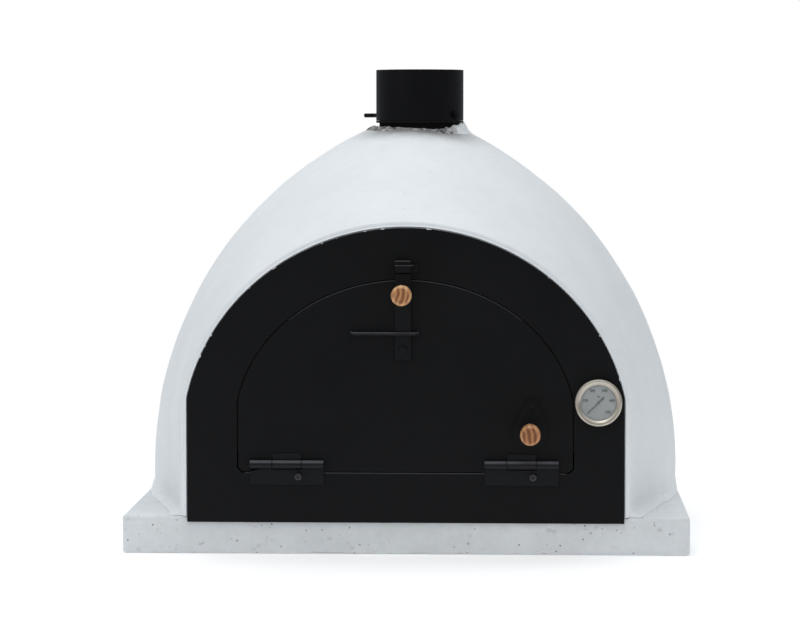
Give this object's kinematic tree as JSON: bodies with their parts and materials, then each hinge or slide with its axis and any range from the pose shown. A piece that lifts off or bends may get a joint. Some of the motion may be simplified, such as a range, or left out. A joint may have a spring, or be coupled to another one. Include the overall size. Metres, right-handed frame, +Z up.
{
  "type": "wood fired pizza oven",
  "caption": "Domed wood fired pizza oven on a square slab, with an arched drop-down steel door, wooden handles, a thermometer and a short flue with a damper.",
  "frame": {"origin": "centre of the base slab's underside", "axes": "+Z up along the flue, -Y out of the mouth, +X to the right of someone facing the door"},
  "size_m": [1, 1.0965, 0.858],
  "materials": {
    "white_render": "rough trowelled white cement render",
    "black_steel": "matte black heat-proof paint",
    "chimney_black": "satin black heat-proof paint",
    "firebrick": "fired refractory, matte",
    "insulation": "soft ceramic fibre, matte",
    "mortar": "crumbly lime mortar",
    "handle_wood": "oiled brown hardwood",
    "bezel_steel": "satin stainless steel",
    "dial_face": "printed pale grey dial",
    "glass": "clear flat glass",
    "pointer_black": "satin black",
    "zinc_steel": "zinc plated"
  },
  "bodies": {
    "oven": {"base_slab": "white_render", "hearth_insulation_board": "insulation", "hearth_tile_1": "firebrick", "hearth_tile_2": "firebrick", "hearth_tile_3": "firebrick", "hearth_tile_4": "firebrick", "hearth_tile_5": "firebrick", "hearth_tile_6": "firebrick", "brick_dome": "firebrick", "mouth_vault": "firebrick", "insulation_blanket": "insulation", "render_shell": "white_render", "flue_throat": "black_steel", "mortar_collar": "mortar", "chimney_tube": "chimney_black", "face_plate": "black_steel", "door_frame": "black_steel", "face_anchor_1": "zinc_steel", "face_anchor_2": "zinc_steel", "face_anchor_3": "zinc_steel", "face_anchor_4": "zinc_steel", "hinge_leaf_left": "black_steel", "hinge_leaf_right": "black_steel", "hinge_pin_left": "black_steel", "hinge_pin_right": "black_steel", "hinge_screw_left": "zinc_steel", "hinge_screw_right": "zinc_steel", "latch_keeper": "black_steel", "keeper_screw": "black_steel", "thermometer_case": "bezel_steel", "thermometer_dial": "dial_face", "thermometer_lens": "glass", "thermometer_stem": "zinc_steel"},
    "door": {"door_panel": "black_steel", "door_tray": "black_steel", "door_insulation": "insulation", "door_knuckle_left": "black_steel", "door_knuckle_right": "black_steel", "latch_guide_rod": "black_steel", "latch_bolt": "black_steel", "draught_screw": "black_steel"},
    "latch": {"latch_bar": "black_steel", "latch_handle": "handle_wood", "latch_handle_ferrule": "black_steel"},
    "draught": {"draught_cover": "black_steel", "draught_handle": "handle_wood", "draught_handle_ferrule": "black_steel"},
    "damper": {"damper_spindle": "black_steel", "damper_grip": "black_steel", "damper_disc": "black_steel", "damper_screw_1": "zinc_steel", "damper_screw_2": "zinc_steel", "damper_nut": "zinc_steel"},
    "pointer": {"thermometer_pointer": "pointer_black"}
  },
  "joints": [
    {"name": "door_hinge", "type": "hinge", "parent": "oven", "child": "door", "pos_m": [0, -0.5123, 0.159], "axis": [1, 0, 0], "range_deg": [0, 95]},
    {"name": "latch_swing", "type": "hinge", "parent": "door", "child": "latch", "pos_m": [-0.0038, -0.5101, 0.361], "axis": [0, -1, 0], "range_deg": [0, 60]},
    {"name": "draught_swing", "type": "hinge", "parent": "door", "child": "draught", "pos_m": [0.222, -0.5049, 0.265], "axis": [0, 1, 0], "range_deg": [0, 80]},
    {"name": "damper_turn", "type": "hinge", "parent": "oven", "child": "damper", "pos_m": [0.009, 0, 0.772], "axis": [0.8089, -0.5879, 0], "range_deg": [0, 90]},
    {"name": "pointer_turn", "type": "hinge", "parent": "oven", "child": "pointer", "pos_m": [0.338, -0.5116, 0.2695], "axis": [0, 1, 0], "range_deg": [0, 270]}
  ]
}
